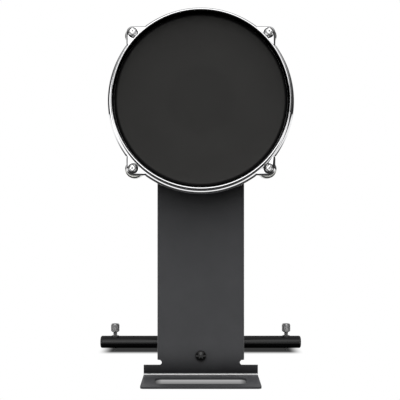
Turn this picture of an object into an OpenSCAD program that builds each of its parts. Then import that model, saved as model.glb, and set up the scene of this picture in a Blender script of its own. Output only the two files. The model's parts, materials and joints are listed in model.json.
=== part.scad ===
// Electronic bass-drum practice pad: a mesh-head drum on a folded steel tower with a welded rear leg.
// Millimetres, +Z up, the player on the -Y side.
// The origin is on the floor under the middle of the pad's bounding box.

/* [Drum] */
// Height of the drum's centre above the floor
drum_z = 343.5; // [335:0.5:352]
// Outside diameter of the drum shell
shell_d = 203.2; // [202.4:0.2:203.6]
// Thickness of the shell's wall
shell_wall = 5; // [4:0.5:6]
// Distance from the tower's front face to the hoop's front edge
rim_reach = 75; // [73:0.5:77]
// Depth of the mesh behind the hoop's front edge
mesh_depth = 13; // [12:0.5:14]
// Gap between the tower and the drum's back plate, filled by the rubber spacers
back_gap = 6; // [5:0.5:7]

/* [Hoop] */
// Inside diameter of the hoop
hoop_d = 208.4; // [208:0.2:208.6]
// Thickness of the hoop's steel
hoop_t = 2.1; // [1.9:0.1:2.2]
// Outside diameter of the hoop's bottom flange
hoop_flange_d = 224; // [223:0.5:226]
// Depth of the flange's front face behind the hoop's front edge
hoop_flange_depth = 19.8; // [19:0.2:20.4]
// Diameter of the circle that the tension rods stand on
rod_circle_d = 230; // [229:0.5:231]

/* [Rods and lugs] */
// Diameter of a tension rod
rod_d = 5.5; // [5:0.1:5.6]
// Width across the flats of a rod's square head
rod_head_w = 6.6; // [6.2:0.1:6.8]
// Length of a rod's square head
rod_head_h = 6.8; // [6:0.2:8]
// Diameter of a lug
lug_d = 22.6; // [21.6:0.2:23]
// Length of a lug
lug_len = 26; // [24:0.5:27]

/* [Tower] */
// Thickness of the tower's sheet
sheet_t = 2.5; // [2:0.1:3]
// Width of the tower's web
tower_w = 110.5; // [106:0.5:114]
// Height of the tower's top edge
tower_top = 418; // [412:1:424]
// Depth of the tower's side flanges
tower_flange = 22; // [18:1:28]
// Width of the base plate and of the foot above it
plate_w = 145; // [140:1:160]
// Reach of the base plate in front of the tower
plate_reach = 63.5; // [58:0.5:70]
// Length of the base plate's slot, across the pad
slot_len = 113; // [90:1:120]
// Width of the base plate's slot
slot_w = 31.8; // [26:0.2:34]
// Height of the foot's shoulders
shoulder_z = 14.8; // [14:0.2:16.4]

/* [Rear leg and spurs] */
// Diameter of the crossbar and of the leg tube
bar_d = 18; // [17.6:0.2:18.4]
// Height of the crossbar's underside above the floor
bar_lift = 4.5; // [4:0.1:5]
// Wall of both tubes
bar_wall = 1.5; // [1.2:0.1:1.6]
// Length of the crossbar with its end caps
bar_len = 297; // [285:1:320]
// Distance from the tower's front face to the crossbar's axis
bar_back = 167; // [150:1:190]
// Height of the leg screw
leg_screw_z = 26.5; // [26.5:0.5:28]
// Distance of a spur from the middle of the pad
spur_x = 127; // [122:0.5:127]
// Diameter of a spur's thread
spur_d = 5.9; // [5.7:0.1:5.9]
// Diameter of a spur's knob
knob_d = 12.4; // [11:0.2:14]
// Height of a spur's knob
knob_h = 11.7; // [10.5:0.1:13]
// Length of bare spur between the crossbar and the knob
spur_show = 6.1; // [6:0.1:8]

/* [Hidden] */

// Colours
chrome = "gainsboro";
black_paint = [0.12, 0.12, 0.13];
tower_paint = [0.28, 0.28, 0.29];
steel = "silver";

// Clearances: a running fit's radial gap, a loose hole's, and a gap that only keeps faces apart
run_gap = 0.05;
hole_gap = 0.3;
face_gap = 0.1;

// The pad's depth is from the hoop's front edge to the crossbar's back
tower_y = (rim_reach - bar_back - bar_d / 2) / 2;

// Drum, along its own axis: 0 at the tower's front face, positive towards the player
plate_t = 3;
plate_z = back_gap;
shell_z = plate_z + plate_t;
mesh_z = rim_reach - mesh_depth;
mesh_t = 0.8;
shell_r = shell_d / 2;
hoop_r = hoop_d / 2;
hoop_flange_r = hoop_flange_d / 2;
flange_z = rim_reach - hoop_flange_depth;
flange_roll_r = 3;
flange_skirt = 6.6;
wall_fillet_r = 2.5;
rod_circle_r = rod_circle_d / 2;
ear_r = 7.5;
ear_inset = 1;
ear_skirt = 4.4;
ear_skirt_t = 1.8;

// Mesh collar and the ring that it is bonded into
collar_r = hoop_r - 0.9;
collar_bend_r = 3;
ring_w = 6;
ring_h = 6.5;
ring_top_z = flange_z - hoop_t - face_gap;

// Rods and lugs
washer_t = 1.2;
washer_r = 6.2;
washer_z = flange_z + face_gap;
rod_collar_t = 1.6;
rod_collar_r = 5.3;
rod_seat_z = washer_z + washer_t + face_gap;
rod_end_z = 18;
lug_z = 12;
lug_round_r = 2;
insert_r = 5;
insert_z = [22, 36.5];
lug_foot = [10, 13, 20];
lug_screw_z = lug_z + lug_len / 2;
lug_screw_r = 2.4;

// Back plate's screws and the shell's bosses
boss_count = 6;
boss_circle_r = 91;
boss_r = 4.5;
boss_h = 15;
plate_screw_r = 1.8;

// Sensor stack, in front of the jack
sensor_plate_z = 36;
sensor_plate_t = 2;
sensor_plate_r = 55;
post_circle_r = 49;
post_r = 4;
post_angles = [90, 210, 330];
foam_r = 43;
foam_recess = 3;
piezo_r = 13.5;
piezo_pad_t = 1;
piezo_t = 0.4;
crystal_r = 10;
crystal_t = 0.3;
lead_r = 0.7;
lead_x = 2.5;
lead_drop_y = -17;
lead_z = 34.4;

// Outlet jack
jack_y = -42;
jack_block = [16, 14, 24];
jack_bush_r = 4.7;
jack_mouth_z = 2;
jack_bore_r = 3.2;
jack_bore_len = 30;
jack_nut_t = 2.2;
jack_washer_t = 0.8;
jack_window_r = 16;
terminal = [2, 6, 2.6];

// Drum fixings
mount_x = 32;
mount_y = 36;
bolt_r = 3;
spacer_r = 9;
bolt_washer_t = 1.6;
bolt_washer_r = 6.5;
hex_10_r = 10 / sqrt(3);
bolt_head_h = 4;
bolt_end_z = 14;
insert_flange_t = 1.5;

// Tower
bend_in_r = 3;
bend_out_r = bend_in_r + sheet_t;
side_bend_r = 4;
notch_r = 3.2;
notch_z = shoulder_z + notch_r;
flange_foot_z = shoulder_z + 2 * notch_r;
top_corner_r = 16;
foot_corner_r = 10;
plate_corner_r = 4.5;
slot_front = 48.3;
slot_corner_r = 8;

// Rear leg
bar_r = bar_d / 2;
bar_z = bar_lift + bar_r;
leg_plate_size = [60, 5, 42];
leg_plate_corner_r = 8;
leg_back = sheet_t + leg_plate_size.y;
leg_screw_len = 9;
screw_head_r = 6.25;
screw_head_h = 3.4;
cap_flange = 3.3;
cap_round_r = 2.6;
cap_plug = 12;

// Spurs
spur_r = spur_d / 2;
spur_tip_h = 3.5;
spur_tip_r = 0.8;
knob_z = bar_z + bar_r + spur_show;
knob_shoulder_h = 0.9;
knob_shoulder_r = 5;
knob_rim_h = 0.9;
knob_bore_h = 8;
rivet_r = 4.5;
rivet_len = 12;
rivet_flange_r = 5.4;
rivet_flange_t = 0.5;

$fn = 96;
small_fn = 48;
circle_fn = 180;

// ---------- frames ----------

// The drum's own frame: z along its axis towards the player, y up
module drum_frame() {
    translate([0, tower_y, drum_z])
        rotate([90, 0, 0])
            children();
}

// At tension rod i (1 to 4), with x pointing out of the drum
module at_rod(i) {
    rotate([0, 0, 90 * i - 45])
        translate([rod_circle_r, 0, 0])
            children();
}

module at_each_rod() {
    for (i = [1 : 4])
        at_rod(i)
            children();
}

module at_bosses() {
    for (i = [0 : boss_count - 1])
        rotate([0, 0, i * 360 / boss_count])
            translate([boss_circle_r, 0, 0])
                children();
}

module at_posts() {
    for (angle = post_angles)
        rotate([0, 0, angle])
            translate([post_circle_r, 0, 0])
                children();
}

module at_mounts() {
    for (x = [-mount_x, mount_x], y = [-mount_y, mount_y])
        translate([x, y, 0])
            children();
}

// The stand's frame: y from the tower's front face towards the back
module stand_frame() {
    translate([0, tower_y, 0])
        children();
}

// A hole or shaft along Y
module along_y(r, from, to) {
    translate([0, to, 0])
        rotate([90, 0, 0])
            cylinder(r = r, h = to - from, $fn = small_fn);
}

// A hole, shaft or tube along X, centred
module along_x(r, len) {
    translate([-len / 2, 0, 0])
        rotate([0, 90, 0])
            cylinder(r = r, h = len, $fn = small_fn);
}

// ---------- shared shapes ----------

module washer(r, hole, t) {
    difference() {
        cylinder(r = r, h = t, $fn = small_fn);
        translate([0, 0, -1])
            cylinder(r = hole, h = t + 2, $fn = small_fn);
    }
}

module nut(across_r, hole, t) {
    difference() {
        cylinder(r = across_r, h = t, $fn = 6);
        translate([0, 0, -1])
            cylinder(r = hole, h = t + 2, $fn = small_fn);
    }
}

// Cross-recess pan head, its flat side down
module pan_head(r, h) {
    dome_r = (r * r + h * h) / (2 * h) * 1.35;
    difference() {
        intersection() {
            cylinder(r = r, h = h, $fn = small_fn);
            translate([0, 0, h - dome_r])
                sphere(r = dome_r, $fn = small_fn);
        }
        for (angle = [45, 135])
            rotate([0, 0, angle])
                translate([-0.58 * r, -0.13 * r, 0.45 * h])
                    cube([1.16 * r, 0.26 * r, h]);
    }
}

// Pan-head screw: its head stands on z = 0 and its shank goes down
module pan_screw(head_r, head_h, shank_r, len) {
    pan_head(head_r, head_h);
    translate([0, 0, -len])
        cylinder(r = shank_r, h = len + 0.5, $fn = small_fn);
}

// Rectangle with round corners, centred
module round_rect_2d(size, r) {
    square([size.x - 2 * r, size.y], center = true);
    square([size.x, size.y - 2 * r], center = true);
    for (x = [-1, 1], y = [-1, 1])
        translate([x * (size.x / 2 - r), y * (size.y / 2 - r)])
            circle(r = r, $fn = small_fn);
}

// Round bar profile for rotate_extrude, from the axis out, with both outer edges rounded
module round_edge_2d(r, h, edge_r) {
    square([r - edge_r, h]);
    translate([0, edge_r])
        square([r, h - 2 * edge_r]);
    for (y = [edge_r, h - edge_r])
        translate([r - edge_r, y])
            circle(r = edge_r, $fn = small_fn);
}

// ---------- hoop ----------

// The hoop's ear in the plane of its flange: two sides at 45 degrees and a round end.
// x points out of the drum, from the rod's centre.
module ear_2d(inset) {
    tip_x = ear_inset;
    r = ear_r - inset;
    corner = r / sqrt(2);
    root_x = hoop_flange_r - rod_circle_r - 5;
    root_y = corner + (tip_x + corner - root_x);
    translate([tip_x, 0])
        circle(r = r, $fn = small_fn);
    polygon([
        [root_x, -root_y], [tip_x + corner, -corner],
        [tip_x + corner, corner], [root_x, root_y]
    ]);
}

module ear() {
    translate([0, 0, flange_z - hoop_t])
        linear_extrude(hoop_t)
            ear_2d(0);
    translate([0, 0, flange_z - ear_skirt])
        linear_extrude(ear_skirt)
            difference() {
                ear_2d(0);
                ear_2d(ear_skirt_t);
                translate([-rod_circle_r, 0])
                    circle(r = hoop_flange_r - hoop_t, $fn = circle_fn);
            }
}

module hoop_profile_2d() {
    roll_x = hoop_flange_r - flange_roll_r;
    roll_z = flange_z - flange_roll_r;
    outer_x = hoop_r + hoop_t;
    translate([hoop_r, flange_z - hoop_t])
        square([hoop_t, hoop_flange_depth + hoop_t / 2]);
    translate([hoop_r + hoop_t / 2, rim_reach - hoop_t / 2])
        circle(r = hoop_t / 2, $fn = small_fn);
    translate([hoop_r, flange_z - hoop_t])
        square([roll_x - hoop_r, hoop_t]);
    translate([outer_x, flange_z])
        difference() {
            square(wall_fillet_r);
            translate([wall_fillet_r, wall_fillet_r])
                circle(r = wall_fillet_r, $fn = small_fn);
        }
    intersection() {
        translate([roll_x, roll_z])
            difference() {
                circle(r = flange_roll_r, $fn = small_fn);
                circle(r = flange_roll_r - hoop_t, $fn = small_fn);
            }
        translate([roll_x, roll_z])
            square(flange_roll_r);
    }
    translate([hoop_flange_r - hoop_t, flange_z - flange_skirt])
        square([hoop_t, flange_skirt - flange_roll_r]);
}

module hoop() {
    color(chrome)
        drum_frame()
            difference() {
                union() {
                    rotate_extrude($fn = circle_fn)
                        hoop_profile_2d();
                    at_each_rod()
                        ear();
                }
                at_each_rod()
                    translate([0, 0, flange_z - hoop_t - 1])
                        cylinder(r = rod_d / 2 + hole_gap + 0.2, h = hoop_t + 2, $fn = small_fn);
            }
}

// ---------- head ----------

// The mesh is stretched flat and turns down over the shell's edge
module mesh_head() {
    bend_x = collar_r - collar_bend_r;
    color([0.2, 0.2, 0.2])
        drum_frame()
            rotate_extrude($fn = circle_fn) {
                translate([0, mesh_z - mesh_t])
                    square([bend_x, mesh_t]);
                intersection() {
                    translate([bend_x, mesh_z - collar_bend_r])
                        difference() {
                            circle(r = collar_bend_r, $fn = small_fn);
                            circle(r = collar_bend_r - mesh_t, $fn = small_fn);
                        }
                    translate([bend_x, mesh_z - collar_bend_r])
                        square(collar_bend_r);
                }
                translate([collar_r - mesh_t, ring_top_z - ring_h])
                    square([mesh_t, mesh_z - collar_bend_r - ring_top_z + ring_h]);
            }
}

module head_ring() {
    color(steel)
        drum_frame()
            translate([0, 0, ring_top_z - ring_h])
                difference() {
                    cylinder(r = collar_r + ring_w, h = ring_h, $fn = circle_fn);
                    translate([0, 0, -1])
                        cylinder(r = collar_r, h = ring_h + 2, $fn = circle_fn);
                }
}

// ---------- shell ----------

module shell_profile_2d() {
    edge_r = 2;
    edge_z = mesh_z - mesh_t - face_gap;
    translate([shell_r - shell_wall, shell_z])
        square([shell_wall, edge_z - edge_r - shell_z]);
    translate([shell_r - shell_wall, shell_z])
        square([shell_wall - edge_r, edge_z - shell_z]);
    translate([shell_r - edge_r, edge_z - edge_r])
        circle(r = edge_r, $fn = small_fn);
}

module shell() {
    color(black_paint)
        drum_frame()
            difference() {
                union() {
                    rotate_extrude($fn = circle_fn)
                        shell_profile_2d();
                    at_bosses()
                        translate([0, 0, shell_z]) {
                            cylinder(r = boss_r, h = boss_h, $fn = small_fn);
                            translate([0, -1.5, 0])
                                cube([shell_r - boss_circle_r - shell_wall / 2, 3, boss_h]);
                        }
                }
                at_bosses()
                    translate([0, 0, shell_z - 1])
                        cylinder(r = plate_screw_r + run_gap, h = boss_h - 1, $fn = small_fn);
                at_each_rod()
                    translate([shell_r - rod_circle_r - shell_wall - 2, 0, lug_screw_z])
                        rotate([0, 90, 0])
                            cylinder(r = lug_screw_r + run_gap, h = shell_wall + 4, $fn = small_fn);
            }
}

module back_plate() {
    color(black_paint)
        drum_frame()
            difference() {
                translate([0, 0, plate_z])
                    cylinder(r = shell_r, h = plate_t, $fn = circle_fn);
                at_bosses()
                    through_plate(plate_screw_r + hole_gap);
                at_posts()
                    through_plate(plate_screw_r + hole_gap);
                at_mounts()
                    through_plate(bolt_r + 1.3);
                translate([0, jack_y, 0])
                    through_plate(jack_bush_r + face_gap);
            }
}

module through_plate(r) {
    translate([0, 0, plate_z - 1])
        cylinder(r = r, h = plate_t + 2, $fn = small_fn);
}

// Six screws from behind, through the back plate into the shell's bosses
module plate_screws() {
    color(steel)
        drum_frame()
            at_bosses()
                translate([0, 0, plate_z])
                    rotate([180, 0, 0])
                        pan_screw(3.6, 2.2, plate_screw_r, plate_t + 9);
}

// ---------- lugs ----------

module lug(i) {
    color(chrome)
        drum_frame()
            difference() {
                union() {
                    at_rod(i)
                        translate([0, 0, lug_z])
                            rotate_extrude($fn = small_fn)
                                intersection() {
                                    round_edge_2d(lug_d / 2, lug_len, lug_round_r);
                                    square([lug_d, lug_len]);
                                }
                    at_rod(i)
                        translate([shell_r - rod_circle_r - 2, -lug_foot.y / 2, lug_screw_z - lug_foot.z / 2])
                            cube(lug_foot);
                }
                translate([0, 0, lug_z - 1])
                    cylinder(r = shell_r, h = lug_len + 2, $fn = circle_fn);
                at_rod(i)
                    lug_holes();
            }
}

module lug_holes() {
    translate([0, 0, insert_z[0]])
        cylinder(r = insert_r + run_gap, h = lug_len, $fn = small_fn);
    translate([0, 0, lug_z + 2])
        cylinder(r = rod_d / 2 + hole_gap + 0.2, h = lug_len, $fn = small_fn);
    translate([shell_r - rod_circle_r - 2, 0, lug_screw_z])
        rotate([0, 90, 0])
            cylinder(r = lug_screw_r + run_gap, h = 8.6, $fn = small_fn);
}

module lug_1() { lug(1); }
module lug_2() { lug(2); }
module lug_3() { lug(3); }
module lug_4() { lug(4); }

// A threaded insert in each lug takes the rod
module lug_inserts() {
    color("darkkhaki")
        drum_frame()
            at_each_rod()
                translate([0, 0, insert_z[0]])
                    washer(insert_r, rod_d / 2 + run_gap, insert_z[1] - insert_z[0]);
}

// A screw from inside the shell holds each lug
module lug_screws() {
    color(steel)
        drum_frame()
            at_each_rod()
                translate([shell_r - rod_circle_r - shell_wall - 0.4, 0, lug_screw_z])
                    rotate([0, -90, 0])
                        pan_screw(4.5, 2.6, lug_screw_r, shell_wall + 7);
}

// ---------- tension rods ----------

module rod_washer(i) {
    color(steel)
        drum_frame()
            at_rod(i)
                translate([0, 0, washer_z])
                    washer(washer_r, rod_d / 2 + run_gap, washer_t);
}

module rod_washer_1() { rod_washer(1); }
module rod_washer_2() { rod_washer(2); }
module rod_washer_3() { rod_washer(3); }
module rod_washer_4() { rod_washer(4); }

module tension_rod(i) {
    head_z = rod_seat_z + rod_collar_t;
    color(chrome)
        drum_frame()
            at_rod(i) {
                translate([0, 0, rod_end_z])
                    cylinder(r = rod_d / 2, h = head_z - rod_end_z, $fn = small_fn);
                translate([0, 0, rod_seat_z])
                    cylinder(r = rod_collar_r, h = rod_collar_t, $fn = small_fn);
                intersection() {
                    translate([-rod_head_w / 2, -rod_head_w / 2, head_z - 0.1])
                        cube([rod_head_w, rod_head_w, rod_head_h + 0.1]);
                    translate([0, 0, head_z + rod_head_h - 1.3 * rod_head_w])
                        sphere(r = 1.3 * rod_head_w, $fn = small_fn);
                }
            }
}

module tension_rod_1() { tension_rod(1); }
module tension_rod_2() { tension_rod(2); }
module tension_rod_3() { tension_rod(3); }
module tension_rod_4() { tension_rod(4); }

// ---------- sensor ----------

// Foam disc behind the mesh, hollowed at the back for the sensor and its leads
module foam_disc() {
    foam_z = sensor_plate_z + sensor_plate_t;
    color([0.1, 0.1, 0.1])
        drum_frame()
            difference() {
                translate([0, 0, foam_z])
                    cylinder(r = foam_r, h = mesh_z - mesh_t - 0.2 - foam_z, $fn = $fn);
                translate([0, 0, foam_z - 1])
                    cylinder(r = piezo_r + 1.5, h = foam_recess + 1, $fn = $fn);
                translate([-lead_x - 2, lead_drop_y - 2, foam_z - 1])
                    cube([2 * lead_x + 4, -lead_drop_y, foam_recess + 1]);
            }
}

module piezo_pad() {
    color("white")
        drum_frame()
            translate([0, 0, sensor_plate_z + sensor_plate_t])
                cylinder(r = piezo_r, h = piezo_pad_t, $fn = small_fn);
}

module piezo_disc() {
    color("goldenrod")
        drum_frame()
            translate([0, 0, sensor_plate_z + sensor_plate_t + piezo_pad_t])
                cylinder(r = piezo_r, h = piezo_t, $fn = small_fn);
}

module piezo_crystal() {
    color("whitesmoke")
        drum_frame()
            translate([0, 0, sensor_plate_z + sensor_plate_t + piezo_pad_t + piezo_t])
                cylinder(r = crystal_r, h = crystal_t, $fn = small_fn);
}

module sensor_plate() {
    color(steel)
        drum_frame()
            difference() {
                translate([0, 0, sensor_plate_z])
                    cylinder(r = sensor_plate_r, h = sensor_plate_t, $fn = $fn);
                at_posts()
                    translate([0, 0, sensor_plate_z - 1])
                        cylinder(r = plate_screw_r + hole_gap, h = sensor_plate_t + 2, $fn = small_fn);
                for (x = [-lead_x, lead_x])
                    translate([x, lead_drop_y, sensor_plate_z - 1])
                        cylinder(r = lead_r + 0.4, h = sensor_plate_t + 2, $fn = small_fn);
            }
}

module sensor_posts() {
    color("gold")
        drum_frame()
            at_posts()
                translate([0, 0, shell_z])
                    washer(post_r, plate_screw_r + run_gap, sensor_plate_z - shell_z);
}

// Three screws from the front and three from behind, into the posts
module sensor_screws() {
    color(steel)
        drum_frame()
            at_posts() {
                translate([0, 0, sensor_plate_z + sensor_plate_t])
                    pan_screw(3.2, 2, plate_screw_r, sensor_plate_t + 7);
                translate([0, 0, plate_z])
                    rotate([180, 0, 0])
                        pan_screw(3.2, 2, plate_screw_r, plate_t + 7);
            }
}

// Each lead runs off the sensor, down through the plate and across to the jack
module signal_leads() {
    start_z = sensor_plate_z + sensor_plate_t + piezo_pad_t + piezo_t + lead_r;
    start_y = -(piezo_r + crystal_r) / 2;
    end_y = jack_y + terminal.y / 2;
    color("firebrick")
        drum_frame()
            for (x = [-lead_x, lead_x])
                translate([x, 0, 0]) {
                    translate([0, lead_drop_y, start_z])
                        along_y(lead_r, 0, start_y - lead_drop_y);
                    translate([0, lead_drop_y, lead_z])
                        cylinder(r = lead_r, h = start_z - lead_z, $fn = 24);
                    translate([0, end_y, lead_z])
                        along_y(lead_r, 0, lead_drop_y - end_y);
                    for (z = [start_z, lead_z])
                        translate([0, lead_drop_y, z])
                            sphere(r = lead_r, $fn = 24);
                }
}

// ---------- jack ----------

module jack_body() {
    color([0.15, 0.15, 0.15])
        drum_frame()
            translate([0, jack_y, 0])
                difference() {
                    union() {
                        translate([-jack_block.x / 2, -jack_block.y / 2, shell_z])
                            cube(jack_block);
                        translate([0, 0, jack_mouth_z])
                            cylinder(r = jack_bush_r, h = shell_z - jack_mouth_z + 1, $fn = small_fn);
                    }
                    translate([0, 0, jack_mouth_z - 1])
                        cylinder(r = jack_bore_r, h = jack_bore_len + 1, $fn = small_fn);
                }
}

module jack_washer() {
    color(steel)
        drum_frame()
            translate([0, jack_y, plate_z - jack_washer_t])
                washer(7.5, jack_bush_r + face_gap, jack_washer_t);
}

module jack_nut() {
    color(steel)
        drum_frame()
            translate([0, jack_y, plate_z - jack_washer_t - jack_nut_t])
                nut(7, jack_bush_r + run_gap, jack_nut_t);
}

module jack_terminals() {
    color("gold")
        drum_frame()
            for (x = [-lead_x, lead_x])
                translate([x - terminal.x / 2, jack_y - terminal.y / 2, shell_z + jack_block.z])
                    cube(terminal);
}

// ---------- drum fixings ----------

module mount_spacers() {
    color([0.1, 0.1, 0.1])
        drum_frame()
            at_mounts()
                washer(spacer_r, bolt_r + hole_gap, back_gap);
}

module mount_bolts() {
    head_z = -sheet_t - bolt_washer_t;
    color(steel)
        drum_frame()
            at_mounts() {
                translate([0, 0, head_z - bolt_head_h])
                    cylinder(r = hex_10_r, h = bolt_head_h, $fn = 6);
                translate([0, 0, head_z - 1])
                    cylinder(r = bolt_r, h = bolt_end_z - head_z + 1, $fn = small_fn);
            }
}

module mount_washers() {
    color(steel)
        drum_frame()
            at_mounts()
                translate([0, 0, -sheet_t - bolt_washer_t])
                    washer(bolt_washer_r, bolt_r + hole_gap, bolt_washer_t);
}

// Tee nuts inside the back plate
module mount_inserts() {
    color(steel)
        drum_frame()
            at_mounts()
                difference() {
                    union() {
                        translate([0, 0, shell_z])
                            cylinder(r = spacer_r, h = insert_flange_t, $fn = small_fn);
                        translate([0, 0, plate_z + 0.5])
                            cylinder(r = bolt_r + 1.2, h = plate_t, $fn = small_fn);
                    }
                    translate([0, 0, plate_z])
                        cylinder(r = bolt_r + run_gap, h = plate_t + 4, $fn = small_fn);
                }
}

// ---------- tower ----------

// The web and its two side flanges, seen from above
module channel_2d() {
    inner_w = tower_w - 2 * sheet_t;
    inner_r = side_bend_r - sheet_t;
    difference() {
        fold_2d(tower_w, tower_flange, side_bend_r);
        translate([0, sheet_t])
            fold_2d(inner_w, tower_flange, inner_r);
    }
}

// A rectangle from y = 0 back, with its two front corners rounded
module fold_2d(w, d, r) {
    translate([-w / 2, r])
        square([w, d - r]);
    translate([-w / 2 + r, 0])
        square([w - 2 * r, d - r]);
    for (side = [-1, 1])
        translate([side * (w / 2 - r), r])
            circle(r = r, $fn = small_fn);
}

// Seen from the front: the tower's round top corners
module tower_front_2d() {
    h = tower_top - flange_foot_z;
    translate([0, tower_top - h / 2])
        union() {
            round_rect_2d([tower_w, h], top_corner_r);
            translate([-tower_w / 2, -h / 2])
                square([tower_w, top_corner_r]);
        }
}

// Seen from the side: the flanges' round bottom corner
module tower_side_2d() {
    d = tower_flange;
    translate([0, flange_foot_z + foot_corner_r])
        square([d, tower_top - flange_foot_z - foot_corner_r]);
    translate([0, flange_foot_z])
        square([d - foot_corner_r, foot_corner_r]);
    translate([d - foot_corner_r, flange_foot_z + foot_corner_r])
        circle(r = foot_corner_r, $fn = small_fn);
}

module tower_channel() {
    intersection() {
        translate([0, 0, flange_foot_z])
            linear_extrude(tower_top - flange_foot_z)
                channel_2d();
        translate([0, tower_flange + 1, 0])
            rotate([90, 0, 0])
                linear_extrude(tower_flange + 2)
                    tower_front_2d();
        translate([-tower_w, 0, 0])
            rotate([90, 0, 90])
                linear_extrude(2 * tower_w)
                    tower_side_2d();
    }
}

module tower_foot() {
    translate([-tower_w / 2 + side_bend_r, 0, bend_out_r])
        cube([tower_w - 2 * side_bend_r, sheet_t, flange_foot_z - bend_out_r]);
    translate([-plate_w / 2, 0, bend_out_r])
        cube([plate_w, sheet_t, shoulder_z - bend_out_r]);
    intersection() {
        translate([0, -bend_in_r, bend_out_r])
            difference() {
                along_x(bend_out_r, plate_w);
                along_x(bend_in_r, plate_w + 2);
            }
        translate([-plate_w / 2, -bend_in_r, 0])
            cube([plate_w, bend_out_r, bend_out_r]);
    }
}

module base_plate() {
    depth = plate_reach - bend_in_r;
    linear_extrude(sheet_t)
        difference() {
            union() {
                translate([0, -plate_reach + depth / 2])
                    round_rect_2d([plate_w, depth], plate_corner_r);
                translate([-plate_w / 2, -bend_in_r - depth / 2])
                    square([plate_w, depth / 2]);
            }
            translate([0, -slot_front + slot_w / 2])
                round_rect_2d([slot_len, slot_w], slot_corner_r);
        }
}

// Round reliefs where the flanges, the shoulders and the web meet
module bend_reliefs() {
    relief_x = tower_w / 2 - 5.6 + notch_r;
    for (side = [-1, 1])
        translate([side * relief_x, 0, notch_z]) {
            along_y(notch_r, -1, sheet_t + 1);
            translate([side * 5 - 5, -1, -notch_r])
                cube([10, sheet_t + 2, 2 * notch_r]);
        }
}

module tower() {
    color(tower_paint)
        stand_frame()
            difference() {
                union() {
                    tower_channel();
                    tower_foot();
                    base_plate();
                }
                bend_reliefs();
                translate([0, 0, leg_screw_z])
                    along_y(bolt_r + hole_gap, -1, sheet_t + 1);
                translate([0, 0, drum_z + jack_y])
                    along_y(jack_window_r, -1, sheet_t + 1);
                for (x = [-mount_x, mount_x], z = [-mount_y, mount_y])
                    translate([x, 0, drum_z + z])
                        along_y(bolt_r + hole_gap, -1, sheet_t + 1);
            }
}

// ---------- rear leg ----------

module leg_screw() {
    color([0.08, 0.08, 0.08])
        stand_frame()
            translate([0, 0, leg_screw_z])
                rotate([90, 0, 0])
                    pan_screw(screw_head_r, screw_head_h, bolt_r, leg_screw_len);
}

// Flat plate behind the tower's foot, tapped for the screw; the leg tube is welded to it
module leg_plate() {
    size = leg_plate_size;
    color(black_paint)
        stand_frame()
            difference() {
                translate([0, leg_back, bar_lift + size.z / 2])
                    rotate([90, 0, 0])
                        linear_extrude(size.y)
                            round_rect_2d([size.x, size.z], leg_plate_corner_r);
                translate([0, 0, leg_screw_z])
                    along_y(bolt_r + run_gap, sheet_t - 1, leg_back + 1);
            }
}

// From the plate back to the crossbar, its end cut to the crossbar's curve
module leg_tube() {
    color(black_paint)
        stand_frame()
            translate([0, 0, bar_z])
                difference() {
                    along_y(bar_r, leg_back, bar_back);
                    along_y(bar_r - bar_wall, leg_back - 1, bar_back + 1);
                    translate([0, bar_back, 0])
                        along_x(bar_r, 3 * bar_d);
                }
}

module crossbar() {
    color(black_paint)
        stand_frame()
            translate([0, bar_back, bar_z])
                difference() {
                    along_x(bar_r, bar_len - 2 * cap_flange);
                    along_x(bar_r - bar_wall, bar_len);
                    for (x = [-spur_x, spur_x])
                        translate([x, 0, 0]) {
                            cylinder(r = rivet_r + face_gap, h = bar_d, $fn = small_fn);
                            translate([0, 0, -bar_d])
                                cylinder(r = spur_r + 2 * hole_gap, h = bar_d, $fn = small_fn);
                        }
                }
}

// Plug-in cap; side is -1 on the left and 1 on the right
module end_cap(side) {
    color([0.05, 0.05, 0.05])
        stand_frame()
            translate([side * (bar_len / 2 - cap_flange), bar_back, bar_z])
                rotate([0, side * 90, 0])
                    rotate_extrude($fn = small_fn) {
                        intersection() {
                            translate([0, -cap_flange])
                                round_edge_2d(bar_r, 2 * cap_flange, cap_round_r);
                            square([bar_d, cap_flange]);
                        }
                        translate([bar_r - bar_wall - run_gap - 2, -cap_plug])
                            square([2, cap_plug + 1]);
                    }
}

module end_cap_left() { end_cap(-1); }
module end_cap_right() { end_cap(1); }

// ---------- spurs ----------

module at_spur(side) {
    translate([side * spur_x, tower_y + bar_back, 0])
        children();
}

// Threaded rivets in the crossbar
module spur_inserts() {
    color(steel)
        for (side = [-1, 1])
            at_spur(side)
                translate([0, 0, bar_z])
                    difference() {
                        union() {
                            translate([0, 0, bar_r - rivet_len])
                                cylinder(r = rivet_r, h = rivet_len, $fn = small_fn);
                            difference() {
                                cylinder(r = rivet_flange_r, h = bar_r + rivet_flange_t, $fn = small_fn);
                                along_x(bar_r, 3 * rivet_flange_r);
                            }
                        }
                        translate([0, 0, -bar_r])
                            cylinder(r = spur_r + run_gap, h = bar_d + 2, $fn = small_fn);
                    }
}

module spur_pin(side) {
    color(steel)
        at_spur(side) {
            cylinder(r1 = spur_tip_r, r2 = spur_r, h = spur_tip_h, $fn = small_fn);
            translate([0, 0, spur_tip_h])
                cylinder(r = spur_r, h = knob_z + knob_bore_h - spur_tip_h, $fn = small_fn);
        }
}

module spur_pin_left() { spur_pin(-1); }
module spur_pin_right() { spur_pin(1); }

// Round knob with a narrow shoulder below and a stepped rim on top
module spur_knob(side) {
    grip_h = knob_h - knob_shoulder_h - knob_rim_h;
    color(steel)
        at_spur(side)
            translate([0, 0, knob_z])
                difference() {
                    union() {
                        cylinder(r = knob_shoulder_r, h = knob_shoulder_h + 1, $fn = small_fn);
                        translate([0, 0, knob_shoulder_h])
                            cylinder(r = knob_d / 2, h = grip_h, $fn = small_fn);
                        translate([0, 0, knob_h - knob_rim_h - 1])
                            cylinder(r = knob_d / 2 - 0.5, h = knob_rim_h + 1, $fn = small_fn);
                    }
                    translate([0, 0, -1])
                        cylinder(r = spur_r + run_gap, h = knob_bore_h + 1 + face_gap, $fn = small_fn);
                }
}

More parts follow.
